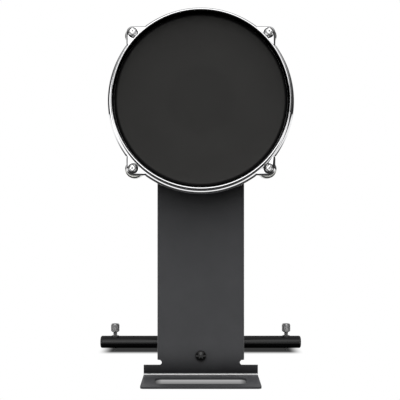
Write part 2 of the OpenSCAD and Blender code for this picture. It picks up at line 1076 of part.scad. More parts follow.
module spur_knob_left() { spur_knob(-1); }
module spur_knob_right() { spur_knob(1); }

hoop();
mesh_head();
head_ring();
shell();
back_plate();
plate_screws();
lug_1();
lug_2();
lug_3();
lug_4();
lug_inserts();
lug_screws();
rod_washer_1();
rod_washer_2();
rod_washer_3();
rod_washer_4();
tension_rod_1();
tension_rod_2();
tension_rod_3();
tension_rod_4();
foam_disc();
piezo_crystal();
piezo_disc();
piezo_pad();
sensor_plate();
sensor_posts();
sensor_screws();
signal_leads();
jack_body();
jack_washer();
jack_nut();
jack_terminals();
mount_spacers();
mount_bolts();
mount_washers();
mount_inserts();
tower();
leg_screw();
leg_plate();
leg_tube();
crossbar();
end_cap_left();
end_cap_right();
spur_inserts();
spur_pin_left();
spur_pin_right();
spur_knob_left();
spur_knob_right();
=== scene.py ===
"""Looks for the bass-drum practice pad: chromed hoop, mesh head, painted steel tower and its rear leg."""
import json
import math

import bmesh
import bpy
from mathutils import Matrix, Vector


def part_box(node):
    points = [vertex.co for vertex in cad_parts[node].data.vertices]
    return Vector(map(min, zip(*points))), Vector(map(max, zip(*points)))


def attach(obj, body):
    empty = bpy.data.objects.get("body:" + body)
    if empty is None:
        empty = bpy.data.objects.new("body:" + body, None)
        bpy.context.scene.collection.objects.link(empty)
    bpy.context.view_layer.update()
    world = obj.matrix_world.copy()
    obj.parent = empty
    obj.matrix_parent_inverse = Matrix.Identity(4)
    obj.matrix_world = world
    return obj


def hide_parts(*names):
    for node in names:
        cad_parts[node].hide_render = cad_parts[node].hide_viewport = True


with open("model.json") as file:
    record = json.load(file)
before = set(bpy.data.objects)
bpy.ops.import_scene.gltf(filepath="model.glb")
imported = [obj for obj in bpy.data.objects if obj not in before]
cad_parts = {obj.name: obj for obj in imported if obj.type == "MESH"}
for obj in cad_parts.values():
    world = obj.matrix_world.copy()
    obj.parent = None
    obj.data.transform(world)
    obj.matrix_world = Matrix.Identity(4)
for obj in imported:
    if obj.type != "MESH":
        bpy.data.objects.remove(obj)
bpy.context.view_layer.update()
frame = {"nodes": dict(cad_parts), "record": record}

MM = 0.001
NODE_BODY = {n: b for b, ns in frame["record"]["behaviour"]["bodies"].items() for n in ns}
NODE_SLOT = {s["node"]: s["material_slot"] for s in frame["record"]["subparts"]}

# ---------- places, read from the frame ----------

hoop_low, hoop_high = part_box("hoop")
rim_y = hoop_low[1]
drum_z = (hoop_low[2] + hoop_high[2]) / 2
flange_r = (hoop_high[0] - hoop_low[0]) / 2 / MM
rod_low, rod_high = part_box("tension_rod_1")
rod_circle_r = math.hypot((rod_low[0] + rod_high[0]) / 2, (rod_low[2] + rod_high[2]) / 2 - drum_z) / MM
bar_low, bar_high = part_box("crossbar")
bar_r = (bar_high[2] - bar_low[2]) / 2 / MM
bar_y = (bar_low[1] + bar_high[1]) / 2
bar_z = (bar_high[2] + bar_low[2]) / 2
leg_back_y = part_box("leg_plate")[1][1]
head_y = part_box("mesh_head")[0][1]
sheet_t = 2.5 * MM
tower_face_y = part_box("leg_plate")[0][1] - sheet_t
plate_low, plate_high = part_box("tower")

# The drum's frame, in millimetres: z = 0 at the hoop's front edge, towards the player; y is up
DRUM = Matrix.Translation((0, rim_y, drum_z)) @ Matrix.Rotation(math.pi / 2, 4, "X") @ Matrix.Scale(MM, 4)


def depth_of(y):
    """World y as a height in the drum's frame, in millimetres (negative behind the rim)."""
    return (rim_y - y) / MM


# ---------- mesh helpers ----------

def new_object(name, mesh):
    obj = bpy.data.objects.new(name, mesh)
    bpy.context.scene.collection.objects.link(obj)
    return obj


def smooth(mesh, angle=38):
    mesh.shade_smooth()
    mesh.set_sharp_from_angle(angle=math.radians(angle))


def loft(name, rings, matrix, closed=False, caps=(False, False), angle=38):
    """A skin over rings of points; closed joins the last ring to the first, caps fill the open ends."""
    count = len(rings[0])
    verts = [matrix @ Vector(p) for ring in rings for p in ring]
    faces = []
    rows = len(rings) if closed else len(rings) - 1
    for i in range(rows):
        a, b = i * count, (i + 1) % len(rings) * count
        for j in range(count):
            k = (j + 1) % count
            faces.append((a + j, a + k, b + k, b + j))
    if caps[0]:
        faces.append(tuple(reversed(range(count))))
    if caps[1]:
        last = (len(rings) - 1) * count
        faces.append(tuple(range(last, last + count)))
    mesh = bpy.data.meshes.new(name)
    mesh.from_pydata(verts, [], faces)
    bm = bmesh.new()
    bm.from_mesh(mesh)
    bmesh.ops.recalc_face_normals(bm, faces=bm.faces)
    bm.to_mesh(mesh)
    bm.free()
    smooth(mesh, angle)
    return new_object(name, mesh)


def circle_ring(r, z, count):
    return [(r * math.cos(t), r * math.sin(t), z) for t in turns(count)]


def turns(count):
    return [2 * math.pi * i / count for i in range(count)]


def arc(cx, cz, r, start, end, steps):
    """Points on an arc in the profile plane, angles in degrees."""
    span = [math.radians(start + (end - start) * i / steps) for i in range(steps + 1)]
    return [(cx + r * math.cos(t), cz + r * math.sin(t)) for t in span]


def apply_modifiers(obj):
    graph = bpy.context.evaluated_depsgraph_get()
    mesh = bpy.data.meshes.new_from_object(obj.evaluated_get(graph))
    obj.modifiers.clear()
    obj.data = mesh


def stand_for(obj, node, material):
    """obj takes a CAD node's place, body and slot."""
    obj.data.materials.clear()
    obj.data.materials.append(material)
    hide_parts(node)
    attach(obj, NODE_BODY[node])


def soften(node, material, width=0.3, segments=2, limit=35):
    """A copy of a CAD node with its sharp edges rounded, width in millimetres."""
    obj = new_object(node + ".soft", frame["nodes"][node].data.copy())
    obj.matrix_world = frame["nodes"][node].matrix_world
    bm = bmesh.new()
    bm.from_mesh(obj.data)
    bmesh.ops.remove_doubles(bm, verts=bm.verts, dist=1e-6)
    bmesh.ops.dissolve_limit(bm, angle_limit=math.radians(0.3), verts=bm.verts, edges=bm.edges)
    bm.to_mesh(obj.data)
    bm.free()
    bevel = obj.modifiers.new("edges", "BEVEL")
    bevel.width = width * MM
    bevel.segments = segments
    bevel.limit_method = "ANGLE"
    bevel.angle_limit = math.radians(limit)
    apply_modifiers(obj)
    smooth(obj.data, 40)
    weighted = obj.modifiers.new("flat faces", "WEIGHTED_NORMAL")
    weighted.weight = 100
    weighted.keep_sharp = True
    apply_modifiers(obj)
    stand_for(obj, node, material)


# ---------- materials ----------

def ramp_node(tree, value, source, target, smooth_step=False):
    ramp = tree.nodes.new("ShaderNodeMapRange")
    if smooth_step:
        ramp.interpolation_type = "SMOOTHSTEP"
    ramp.inputs["From Min"].default_value, ramp.inputs["From Max"].default_value = source
    ramp.inputs["To Min"].default_value, ramp.inputs["To Max"].default_value = target
    tree.links.new(value, ramp.inputs["Value"])
    return ramp.outputs["Result"]


def maths(tree, operation, first, second):
    node = tree.nodes.new("ShaderNodeMath")
    node.operation = operation
    for value, socket in ((first, node.inputs[0]), (second, node.inputs[1])):
        if isinstance(value, (int, float)):
            socket.default_value = value
        else:
            tree.links.new(value, socket)
    return node.outputs[0]


class Paint:
    """A principled material whose colour, roughness and bump come from noise in object space."""

    def __init__(self, name, color, rough, metal=0.0):
        self.mat = bpy.data.materials.new(name)
        self.mat.use_nodes = True
        self.tree = self.mat.node_tree
        self.bsdf = self.tree.nodes["Principled BSDF"]
        self.bsdf.inputs["Base Color"].default_value = (*color, 1)
        self.bsdf.inputs["Roughness"].default_value = rough
        self.bsdf.inputs["Metallic"].default_value = metal
        self.color = color
        self.coords = self.tree.nodes.new("ShaderNodeTexCoord").outputs["Object"]
        self.normal = None

    def set(self, **sockets):
        for name, value in sockets.items():
            self.bsdf.inputs[name.replace("_", " ")].default_value = value
        return self

    def node(self, kind, **settings):
        node = self.tree.nodes.new("ShaderNode" + kind)
        for key, value in settings.items():
            setattr(node, key, value)
        return node

    def link(self, out, to):
        self.tree.links.new(out, to)

    def stretched(self, scale):
        """Object coordinates, scaled by a vector, for grain that runs one way."""
        mapping = self.node("Mapping")
        mapping.inputs["Scale"].default_value = scale
        self.link(self.coords, mapping.inputs["Vector"])
        return mapping.outputs["Vector"]

    def noise(self, scale, detail=3.0, vector=None, rough=0.5):
        noise = self.node("TexNoise")
        noise.inputs["Scale"].default_value = scale
        noise.inputs["Detail"].default_value = detail
        noise.inputs["Roughness"].default_value = rough
        self.link(vector or self.coords, noise.inputs["Vector"])
        return noise.outputs["Fac"]

    def spread(self, value, low, high, source=(0.3, 0.7)):
        ramp = self.node("MapRange")
        ramp.inputs["From Min"].default_value = source[0]
        ramp.inputs["From Max"].default_value = source[1]
        ramp.inputs["To Min"].default_value = low
        ramp.inputs["To Max"].default_value = high
        self.link(value, ramp.inputs["Value"])
        return ramp.outputs["Result"]

    def mottle(self, value, other, at=(0.35, 0.65)):
        """Colour goes from the base to other as value rises."""
        ramp = self.node("ValToRGB")
        ramp.color_ramp.elements[0].position = at[0]
        ramp.color_ramp.elements[1].position = at[1]
        ramp.color_ramp.elements[0].color = (*self.color, 1)
        ramp.color_ramp.elements[1].color = (*other, 1)
        self.link(value, ramp.inputs["Fac"])
        self.link(ramp.outputs["Color"], self.bsdf.inputs["Base Color"])
        return self

    def rough(self, value, low, high):
        self.link(self.spread(value, low, high), self.bsdf.inputs["Roughness"])
        return self

    def tint(self, factor, other):
        """Lays a second colour over the base where factor is 1."""
        mix = self.node("Mix", data_type="RGBA")
        self.link(factor, mix.inputs["Factor"])
        self.link(self.bsdf.inputs["Base Color"].links[0].from_socket, mix.inputs["A"])
        mix.inputs["B"].default_value = (*other, 1)
        self.link(mix.outputs["Result"], self.bsdf.inputs["Base Color"])
        return self

    def painted_crevice_shade(self, reach, other, at=(0.85, 0.35)):
        """Painted shade: darker where another surface stands within reach, in millimetres."""
        shade = self.node("AmbientOcclusion", samples=8)
        shade.inputs["Distance"].default_value = reach * MM
        return self.tint(self.spread(shade.outputs["AO"], 0.0, 1.0, at), other)

    def bump(self, value, height, strength=1.0):
        """height is the bump's depth in millimetres."""
        bump = self.node("Bump")
        bump.inputs["Strength"].default_value = strength
        bump.inputs["Distance"].default_value = height * MM
        self.link(value, bump.inputs["Height"])
        if self.normal:
            self.link(self.normal, bump.inputs["Normal"])
        self.normal = bump.outputs["Normal"]
        self.link(self.normal, self.bsdf.inputs["Normal"])
        return self


def chrome(name, color, low=0.03, high=0.09):
    """Plated steel: clear reflections with faint handling smears and a trace of ripple under the plating."""
    p = Paint(name, color, low, 1.0)
    smears = p.noise(60, 5, p.stretched((1, 1, 3)))
    p.rough(smears, low, high)
    # Painted shade: the chrome turns near-black within 2.5 mm of another surface.
    p.mottle(p.noise(25, 2), tuple(c * 0.93 for c in color)).painted_crevice_shade(2.5, (0.02, 0.02, 0.02))
    return p.bump(p.noise(300, 2), 0.01, 0.35).mat


def powder_coat(name, color, lighter, low, high, peel=0.02):
    """Satin paint on sheet steel: orange peel, fine grain and slight wear in tone."""
    p = Paint(name, color, low).set(Specular_IOR_Level=0.3)
    p.mottle(p.noise(18, 6, rough=0.65), lighter, (0.38, 0.68))
    p.rough(p.noise(90, 4), low, high)
    p.bump(p.noise(900, 2), peel, 0.5)
    return p.bump(p.noise(3500, 1), peel / 3, 0.35).mat


def sheet_paint(name, color, lighter, painted_bend_highlight):
    """The tower's satin coat: painted shade towards the bend, darker on the base plate, and a painted
    highlight inside the bend.
    """
    dark = (0.006, 0.006, 0.007)
    above_plate = (0.0026, 0.0034)
    bend_z, half_z = 0.0034, 0.0007
    bend_y, half_y = tower_face_y - 0.0012, 0.0022
    p = Paint(name, color, 0.3).set(Specular_IOR_Level=0.12)
    p.mottle(p.noise(18, 6, rough=0.65), lighter, (0.38, 0.68))
    place = p.node("SeparateXYZ")
    p.link(p.coords, place.inputs["Vector"])
    height, depth = place.outputs["Z"], place.outputs["Y"]

    # Painted shade: the tower darkens towards the bend, where the base plate stands within 40 mm.
    near = p.node("AmbientOcclusion", samples=8)
    near.inputs["Distance"].default_value = 40 * MM
    corner = maths(p.tree, "MULTIPLY", p.spread(near.outputs["AO"], 0.0, 1.0, (0.95, 0.58)),
                   p.spread(height, 0.0, 1.0, above_plate))
    p.tint(corner, dark)
    # Darker on the base plate itself, below 2.6 mm.
    p.tint(p.spread(height, 0.30, 0.0, above_plate), dark)

    # Painted highlight: a near-white stripe along the inside of the bend.
    band = []
    for value, centre, half in ((height, bend_z, half_z), (depth, bend_y, half_y)):
        off = maths(p.tree, "ABSOLUTE", maths(p.tree, "SUBTRACT", value, centre), 0.0)
        band.append(p.spread(off, 1.0, 0.0, (half * 0.6, half)))
    p.tint(maths(p.tree, "MULTIPLY", *band), painted_bend_highlight).rough(p.noise(90, 4), 0.30, 0.38)
    p.bump(p.noise(900, 2), 0.02, 0.5)
    return p.bump(p.noise(3500, 1), 0.007, 0.35).mat


def plastic(name, color, lighter, low, high, grain=0.015):
    """A smooth dark surface with a fine grain, for mouldings and blackened screws."""
    p = Paint(name, color, low)
    p.mottle(p.noise(40, 4), lighter)
    p.rough(p.noise(150, 3), low, high)
    return p.bump(p.noise(2200, 2), grain, 0.5).mat


def zinc(name, color, low=0.22, high=0.42):
    """Plated steel hardware, turned or rolled, with cloudy patches."""
    p = Paint(name, color, low, 1.0)
    # Painted shade: the plating turns near-black within 1.5 mm of another surface.
    p.mottle(p.noise(220, 4), tuple(c * 0.72 for c in color)).painted_crevice_shade(1.5, (0.03, 0.03, 0.03))
    p.rough(p.noise(500, 3, p.stretched((1, 1, 6))), low, high)
    return p.bump(p.noise(1800, 3, p.stretched((1, 1, 8))), 0.02, 0.4).mat


def soft_rubber(name, color, lighter, pores):
    p = Paint(name, color, 0.85).set(Specular_IOR_Level=0.25)
    p.mottle(p.noise(pores, 3), lighter)
    return p.bump(p.noise(pores, 4), 0.2, 0.8).mat


def woven_mesh(name):
    """Black single-ply drum mesh: crossed threads over dark holes, and the foam disc's faint tone behind."""
    pitch = 0.8
    p = Paint(name, (0.001, 0.001, 0.001), 0.6).set(Specular_IOR_Level=0.15)
    split = p.node("SeparateXYZ")
    p.link(p.coords, split.inputs["Vector"])

    def threads(axis, shift):
        wave = p.node("Math", operation="MULTIPLY_ADD")
        p.link(split.outputs[axis], wave.inputs[0])
        wave.inputs[1].default_value = math.pi / (pitch * MM)
        wave.inputs[2].default_value = shift
        sine = p.node("Math", operation="SINE")
        p.link(wave.outputs[0], sine.inputs[0])
        size = p.node("Math", operation="ABSOLUTE")
        p.link(sine.outputs[0], size.inputs[0])
        return size.outputs[0]

    cloth = p.node("Math", operation="MAXIMUM")
    p.link(threads("X", 0), cloth.inputs[0])
    p.link(threads("Z", 0.7), cloth.inputs[1])
    uneven = p.node("Math", operation="MULTIPLY")
    p.link(cloth.outputs[0], uneven.inputs[0])
    p.link(p.spread(p.noise(12, 3), 0.86, 1.0), uneven.inputs[1])

    radius = p.node("VectorMath", operation="DISTANCE")
    radius.inputs[1].default_value = (0, head_y, drum_z)
    p.link(p.coords, radius.inputs[0])
    tone = uneven.outputs[0]
    for inner, outer, start, end in (
        (0.93, 1.0, 0.036, 0.044), (1.0, 0.95, 0.060, 0.080), (1.0, 0.0, 0.0990, 0.1005),
    ):
        step = p.node("Math", operation="MULTIPLY")
        p.link(tone, step.inputs[0])
        p.link(p.spread(radius.outputs["Value"], inner, outer, (start, end)), step.inputs[1])
        tone = step.outputs[0]
    p.mottle(tone, (0.058, 0.057, 0.0547), (0.0, 1.0))
    return p.bump(cloth.outputs[0], 0.12, 0.5).mat


M = {
    "hoop_chrome": chrome("hoop_chrome", (0.95, 0.95, 0.96), 0.03, 0.08),
    # The lugs' chrome is tinted darker than the hoop's: painted shade, as the lugs sit in shadow behind the
    # hoop's ears.
    "lug_chrome": chrome("lug_chrome", (0.50, 0.50, 0.47), 0.14, 0.24),
    "rod_chrome": chrome("rod_chrome", (0.80, 0.80, 0.80), 0.08, 0.18),
    "mesh": woven_mesh("mesh"),
    "ring": zinc("ring", (0.55, 0.55, 0.56), 0.3, 0.45),
    "shell_black": plastic("shell_black", (0.012, 0.012, 0.013), (0.02, 0.02, 0.021), 0.38, 0.55),
    "foam": soft_rubber("foam", (0.02, 0.02, 0.02), (0.045, 0.045, 0.045), 900),
    "zinc": zinc("zinc", (0.62, 0.62, 0.63)),
    "insert": zinc("insert", (0.62, 0.47, 0.22)),
    "ceramic": plastic("ceramic", (0.72, 0.70, 0.64), (0.8, 0.78, 0.72), 0.4, 0.6),
    "white_pad": soft_rubber("white_pad", (0.62, 0.62, 0.60), (0.75, 0.75, 0.73), 1500),
    "jack_black": plastic("jack_black", (0.015, 0.015, 0.016), (0.024, 0.024, 0.025), 0.35, 0.5),
    "lead": plastic("lead", (0.28, 0.02, 0.02), (0.36, 0.03, 0.03), 0.4, 0.55),
    "spacer": soft_rubber("spacer", (0.018, 0.018, 0.018), (0.03, 0.03, 0.03), 2500),
    # The third colour is the painted highlight along the tower's bend.
    "tower_paint": sheet_paint("tower_paint", (0.088, 0.089, 0.0935), (0.097, 0.098, 0.103), (0.8, 0.8, 0.8)),
    "bar_paint": powder_coat("bar_paint", (0.004, 0.004, 0.0045), (0.006, 0.006, 0.0065), 0.1, 0.16, 0.008),
    "black_screw": plastic("black_screw", (0.003, 0.003, 0.003), (0.006, 0.006, 0.006), 0.1, 0.18, 0.004),
    "cap_plastic": plastic("cap_plastic", (0.005, 0.005, 0.005), (0.009, 0.009, 0.009), 0.14, 0.24, 0.01),
    "black_washer": zinc("black_washer", (0.03, 0.03, 0.03), 0.3, 0.4),
    "spur_steel": powder_coat("spur_steel", (0.20, 0.20, 0.20), (0.28, 0.28, 0.28), 0.3, 0.45),
    "knob_nickel": zinc("knob_nickel", (0.50, 0.50, 0.50), 0.2, 0.34),
}


# ---------- hoop ----------

HOOP_R = 104.2
HOOP_T = 2.1
EAR_CENTRE = rod_circle_r + 1
EAR_R = 7.5
EAR_SIDE = EAR_CENTRE + EAR_R * math.sqrt(2)
FLANGE_Z = depth_of(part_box("rod_washer_1")[1][1]) - 0.1
SKIRT_Z = depth_of(hoop_high[1])
ROLL_R = 3.0


def hoop_edge(angle):
    """Radius of the flange's outline: a circle with an ear every quarter turn, its sides at 45 degrees."""
    off = abs(math.degrees(angle) % 90 - 45)
    phi = math.radians(off)
    sides = EAR_SIDE / (math.cos(phi) + math.sin(phi))
    touch = math.atan2(EAR_R / math.sqrt(2), EAR_CENTRE + EAR_R / math.sqrt(2))
    if phi < touch:
        reach = EAR_CENTRE * math.sin(phi)
        return EAR_CENTRE * math.cos(phi) + math.sqrt(EAR_R ** 2 - reach ** 2)
    gap = sides - flange_r
    return flange_r + (gap + math.sqrt(gap * gap + 1.2)) / 2 - math.sqrt(1.2) / 2 * math.exp(-gap * gap)


def hoop_section(edge):
    """The hoop's closed cross-section, radius and height, for a flange that reaches edge."""
    back = FLANGE_Z - HOOP_T
    out = HOOP_R + HOOP_T
    roll_x, roll_z = edge - ROLL_R, FLANGE_Z - ROLL_R
    tight = 0.5
    lip, heel = HOOP_T / 2, 2.5
    section = [(HOOP_R, back + 1 + (-lip - back - 1) * i / 8) for i in range(9)]
    section += arc(HOOP_R + lip, -lip, lip, 180, 0, 14)[1:]
    section += [(out, -lip + (FLANGE_Z + heel + lip) * i / 6) for i in range(1, 6)]
    section += arc(out + heel, FLANGE_Z + heel, heel, 180, 270, 8)
    section += [(out + heel + (roll_x - out - heel) * i / 4, FLANGE_Z) for i in range(1, 4)]
    section += arc(roll_x, roll_z, ROLL_R, 90, 0, 8)
    section += arc(edge - tight, SKIRT_Z + tight, tight, 0, -90, 3)
    section += arc(edge - HOOP_T + tight, SKIRT_Z + tight, tight, -90, -180, 3)
    section += arc(roll_x, roll_z, ROLL_R - HOOP_T, 0, 90, 4)
    section += [(roll_x + (HOOP_R + 1 - roll_x) * i / 4, back) for i in range(1, 4)]
    section += arc(HOOP_R + 1, back + 1, 1, -90, -160, 3)
    return section


def make_hoop():
    steps = 1440
    columns = [(t, hoop_section(hoop_edge(t))) for t in turns(steps)]
    rings = []
    for row in range(len(columns[0][1])):
        rings.append([
            (s[row][0] * math.cos(t), s[row][0] * math.sin(t), s[row][1]) for t, s in columns
        ])
    hoop = loft("hoop_steel", rings, DRUM, closed=True, angle=50)
    stand_for(hoop, "hoop", M["hoop_chrome"])


# ---------- mesh head ----------

def make_head():
    low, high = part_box("mesh_head")
    top, foot = depth_of(low[1]), depth_of(high[1])
    collar = (high[0] - low[0]) / 2 / MM
    bend = 3.0
    thick = 0.6
    flat = [(collar - bend) * i / 24 for i in range(1, 25)]
    outside = [(r, top) for r in flat]
    outside += arc(collar - bend, top - bend, bend, 90, 0, 10)[1:]
    outside += [(collar, top - bend + (foot - top + bend) * i / 6) for i in range(1, 7)]
    profile = outside + [(collar - thick, foot)]
    profile += [(collar - thick, top - bend)]
    profile += arc(collar - bend, top - bend, bend - thick, 0, 90, 8)[1:]
    profile += [(r, top - thick) for r in flat[::-4]]
    rings = [circle_ring(r, z, 256) for r, z in profile]
    head = loft("mesh_skin", rings, DRUM, caps=(True, True), angle=60)
    stand_for(head, "mesh_head", M["mesh"])


# ---------- threaded parts ----------

def thread_r(r, depth, pitch, angle, z):
    """Radius of a right-hand V thread at an angle and a height."""
    phase = (z / pitch - angle / (2 * math.pi)) % 1
    return r - depth * (1 - abs(2 * phase - 1))


def thread_rings(r, depth, pitch, low, high, count, per_turn=8):
    """Rings up a threaded shank, with the thread fading out at both ends."""
    rows = int((high - low) / pitch * per_turn)
    rings = []
    for i in range(rows + 1):
        z = low + (high - low) * i / rows
        fade = min(1, (z - low) / pitch, (high - z) / pitch)
        rings.append([
            (thread_r(r, depth * fade, pitch, t, z) * math.cos(t),
             thread_r(r, depth * fade, pitch, t, z) * math.sin(t), z)
            for t in turns(count)
        ])
    return rings


def square_ring(half, corner, z, count):
    """A square with round corners, one point per equal angle."""
    ring = []
    for t in turns(count):
        c, s = abs(math.cos(t)), abs(math.sin(t))
        r = half / max(c, s)
        ring.append((min(r, half * math.sqrt(2) - corner) * math.cos(t),
                     min(r, half * math.sqrt(2) - corner) * math.sin(t), z))
    return ring


def make_rod(i):
    node = f"tension_rod_{i}"
    low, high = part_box(node)
    washer_front = depth_of(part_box(f"rod_washer_{i}")[0][1])
    top, end = depth_of(low[1]), depth_of(high[1])
    seat = washer_front + 0.1
    collar_r, collar_t = 5.3, 1.6
    shank, half, count = 2.75, 3.3, 64
    angle = math.radians(90 * i - 45)
    local = DRUM @ Matrix.Rotation(angle, 4, "Z") @ Matrix.Translation((rod_circle_r, 0, 0))
    rings = [circle_ring(shank - 0.9, end, count)]
    rings += thread_rings(shank, 0.55, 25.4 / 24, end + 0.8, seat - 3, count)
    rings += [circle_ring(shank, seat - 2.8, count), circle_ring(shank, seat, count)]
    rings += [circle_ring(r, z, count) for r, z in (
        (collar_r - 0.3, seat), (collar_r, seat + 0.2), (collar_r, seat + 0.45),
        (collar_r - 0.15, seat + 0.65), (4.2, seat + collar_t - 0.1), (3.9, seat + collar_t))]
    head = seat + collar_t
    rings += [square_ring(half, 0.35, z, count) for z in (head + 0.02, head + 0.4, top - 1.2, top - 0.75)]
    rings += [square_ring(half - inset, 0.35 + inset / 2, z, count) for inset, z in (
        (0.12, top - 0.45), (0.38, top - 0.2), (0.8, top - 0.06))]
    rings += [circle_ring(r, z, count) for r, z in (
        (1.6, top), (1.2, top - 0.02), (1.0, top - 0.3), (0.3, top - 0.8))]
    rod = loft(f"tension_rod_{i}.steel", rings, local, caps=(True, True))
    stand_for(rod, node, M["rod_chrome"])


def make_spur(side):
    pin_node, knob_node = f"spur_pin_{side}", f"spur_knob_{side}"
    low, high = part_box(pin_node)
    x, y = (low[0] + high[0]) / 2, (low[1] + high[1]) / 2
    count = 48
    local = Matrix.Translation((x, y, 0)) @ Matrix.Scale(MM, 4)
    foot, top = low[2] / MM, high[2] / MM
    radius = (high[0] - low[0]) / 2 / MM
    rings = [circle_ring(0.35, foot, count), circle_ring(0.75, foot + 0.8, count)]
    rings += [circle_ring(radius - 0.25, foot + 4.6, count)]
    rings += thread_rings(radius, 0.5, 1.0, foot + 5, top, count)
    pin = loft(pin_node + ".steel", rings, local, caps=(True, True))
    stand_for(pin, pin_node, M["spur_steel"])

    low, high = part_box(knob_node)
    z0, z1 = low[2] / MM, high[2] / MM
    radius = (high[0] - low[0]) / 2 / MM
    knob = loft(knob_node + ".knurled", knob_rings(radius, z0, z1), local, caps=(False, True), angle=55)
    stand_for(knob, knob_node, M["knob_nickel"])


def knob_rings(radius, z0, z1):
    """From the bore's mouth out round the shoulder, up the knurled side and over the top."""
    ribs, samples = 26, 10
    count = ribs * samples
    bore, shoulder = 3.0, 5.0
    body_z = z0 + 0.9
    rings = [circle_ring(bore, z0 + 6, count), circle_ring(bore, z0 + 0.3, count)]
    rings += [circle_ring(r, z, count) for r, z in (
        (bore + 0.3, z0), (shoulder - 0.3, z0), (shoulder, z0 + 0.3), (shoulder, body_z - 0.1),
        (shoulder + 0.15, body_z), (radius - 0.5, body_z), (radius - 0.25, body_z + 0.1))]
    low, high = body_z + 0.3, z1 - 1.25
    rows = 44
    for i in range(rows + 1):
        z = low + (high - low) * i / rows
        fade = min(1, (z - low) / 0.4, (high - z) / 0.4)
        ring = []
        for t in turns(count):
            u = (ribs * t / (2 * math.pi) + z / 1.35) % 1
            v = (ribs * t / (2 * math.pi) - z / 1.35) % 1
            groove = max(0, 1 - 3.2 * min(u, 1 - u), 1 - 3.2 * min(v, 1 - v))
            r = radius - 0.32 * groove * fade - 0.12 * (1 - fade)
            ring.append((r * math.cos(t), r * math.sin(t), z))
        rings.append(ring)
    rings += [circle_ring(r, z, count) for r, z in (
        (radius - 0.3, z1 - 1.12), (radius - 0.55, z1 - 1.0), (radius - 0.62, z1 - 0.9),
        (radius - 0.62, z1 - 0.3), (radius - 0.7, z1 - 0.08), (radius - 0.95, z1),
        (radius - 1.7, z1 - 0.02), (radius - 2.1, z1 - 0.3), (radius - 2.4, z1 - 0.35))]
    return rings


# ---------- foam and welds ----------

def make_foam():
    """The impact foam: a soft-edged, slightly crowned disc, open behind for the sensor."""
    low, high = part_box("foam_disc")
    top, foot = depth_of(low[1]), depth_of(high[1])
    radius = (high[0] - low[0]) / 2 / MM
    edge, recess_r, recess = 3.0, 21.5, 3.2
    profile = [(1, foot + recess), (recess_r, foot + recess), (recess_r, foot + 0.4), (recess_r + 0.4, foot)]
    profile += [(radius - 0.8, foot), (radius, foot + 0.8), (radius - 0.5, (foot + top) / 2)]
    profile += arc(radius - edge, top - edge - 0.3, edge, 0, 90, 8)
    profile += [(radius - edge - (radius - edge - 1) * i / 8, top - 0.3 * (1 - i / 8)) for i in range(1, 9)]
    rings = [circle_ring(r, z, 160) for r, z in profile]
    foam = loft("foam_impact_disc", rings, DRUM, caps=(True, True), angle=60)
    stand_for(foam, "foam_disc", M["foam"])


def weld_bead(name, path, out, radius=1.7, ripple=1.3):
    """A rippled fillet weld along path; out(i) points away from the joint, and both ends taper."""
    count = 12
    rings = []
    length = 0
    for i, p in enumerate(path):
        ahead = path[min(i + 1, len(path) - 1)] - path[max(i - 1, 0)]
        along = ahead.normalized()
        if i:
            length += (p - path[i - 1]).length / MM
        outward = out(i)
        side = along.cross(outward).normalized()
        taper = min(1, (i + 1) / 8, (len(path) - i) / 8)
        r = MM * radius * taper * (1 + 0.09 * math.cos(2 * math.pi * length / ripple))
        rings.append([p + r * (math.cos(t) * outward + math.sin(t) * side) for t in turns(count)])
    bead = loft(name, rings, Matrix.Identity(4), caps=(True, True), angle=75)
    bead.data.materials.append(M["bar_paint"])
    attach(bead, "root")


def make_welds():
    r, axis_z = bar_r * MM, bar_z
    span = [math.radians(-52 + 284 * i / 200) for i in range(201)]
    radial = [Vector((math.cos(t), 0, math.sin(t))) for t in span]

    plate = [Vector((0, leg_back_y, axis_z)) + r * d for d in radial]
    weld_bead("weld_plate", plate, lambda i: (radial[i] + Vector((0, 1, 0))).normalized())

    saddle = [
        Vector((r * d.x, bar_y - r * math.sqrt(d.x ** 2 + 0.01), axis_z + r * d.z)) for d in radial
    ]
    weld_bead("weld_crossbar", saddle, lambda i: (radial[i] - Vector((0, 1, 0))).normalized())


# ---------- floor, light and camera ----------

# Soft lights of the room: direction, angle where the core ends, angle where it fades out,
# strength in reflections and strength as light. Only the third is for reflections alone.
ROOM = (
    ((0, 0, 1), 0, 180, 0.05, 0.05),
    ((0, -0.5, 1), 38, 60, 0.55, 1.65),
    ((0, -1, 0.6), 18, 25, 1.4, 0.0),
    ((-0.158, -1, 0.02), 14.5, 16.5, 1.6, 1.6),
    ((-0.8, 1, 0.15), 20, 42, 0.7, 0.7),
    ((0.45, 1, 0.5), 25, 50, 0.25, 1.8),
)


def for_camera(tree, seen, other):
    """A shader that is seen where the camera looks straight at it, and other in reflections and shade."""
    path = tree.nodes.new("ShaderNodeLightPath")
    mix = tree.nodes.new("ShaderNodeMixShader")
    tree.links.new(path.outputs["Is Camera Ray"], mix.inputs["Fac"])
    tree.links.new(other, mix.inputs[1])
    tree.links.new(seen, mix.inputs[2])
    return mix.outputs["Shader"]


def fade(tree, value, none, full):
    """0 at none, 1 at full, smooth between; none may be the larger."""
    return ramp_node(tree, value, (none, full), (0.0, 1.0), smooth_step=True)


def product(tree, *values):
    result = values[0]
    for value in values[1:]:
        result = maths(tree, "MULTIPLY", result, value)
    return result


def bar_shade(tree, across, y):
    """1 away from the crossbar, almost 0 under it and behind it, soft at the edges."""
    bar_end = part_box("end_cap_right")[1][0]
    darkest = 0.96
    under = product(
        tree,
        fade(tree, across, bar_end + 0.004, bar_end - 0.018),
        fade(tree, y, bar_y - 0.026, bar_y - 0.003),
        fade(tree, y, bar_y + 0.07, bar_y + 0.025),
        darkest,
    )
    return maths(tree, "SUBTRACT", 1.0, under)


